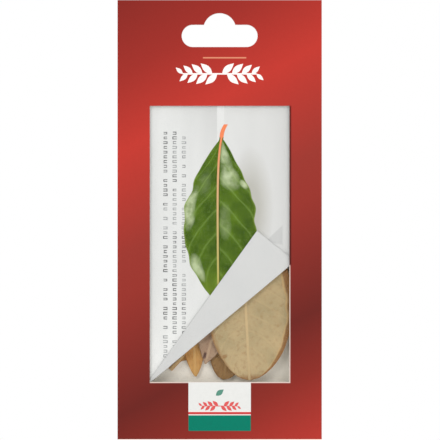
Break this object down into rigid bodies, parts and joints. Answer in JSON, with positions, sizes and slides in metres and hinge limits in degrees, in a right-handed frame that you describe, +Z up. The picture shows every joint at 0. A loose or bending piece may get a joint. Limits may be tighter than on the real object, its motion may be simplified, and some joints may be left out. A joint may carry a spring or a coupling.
{
  "type": "hanging card packet of dried bay leaves",
  "caption": "Flat card packet with a hang slot, a clear window, a folded paper sheet and loose dried bay leaves in a pressed pocket behind it.",
  "frame": {"origin": "top of the hang slot's crown, where a hook carries the packet, halfway through the header", "axes": "+X to the right seen from the front, +Y from the front to the back, +Z up"},
  "size_m": [0.086, 0.0113, 0.185],
  "materials": {
    "printed_board": "satin red print on carton board",
    "pressed_board": "satin red print outside, bare grey board inside",
    "clear_film": "clear glossy film",
    "white_paper": "matt white paper, printed",
    "dried_leaf": "matt dried leaf, tan to olive"
  },
  "bodies": {
    "root": {"front_card": "printed_board", "back_tray": "pressed_board", "window_film": "clear_film", "paper_insert": "white_paper", "bay_leaf_01": "dried_leaf", "bay_leaf_02": "dried_leaf", "bay_leaf_03": "dried_leaf", "bay_leaf_04": "dried_leaf", "bay_leaf_05": "dried_leaf", "bay_leaf_06": "dried_leaf", "bay_leaf_07": "dried_leaf", "bay_leaf_08": "dried_leaf", "bay_leaf_09": "dried_leaf", "bay_leaf_10": "dried_leaf", "bay_leaf_11": "dried_leaf", "bay_leaf_12": "dried_leaf"}
  },
  "joints": []
}
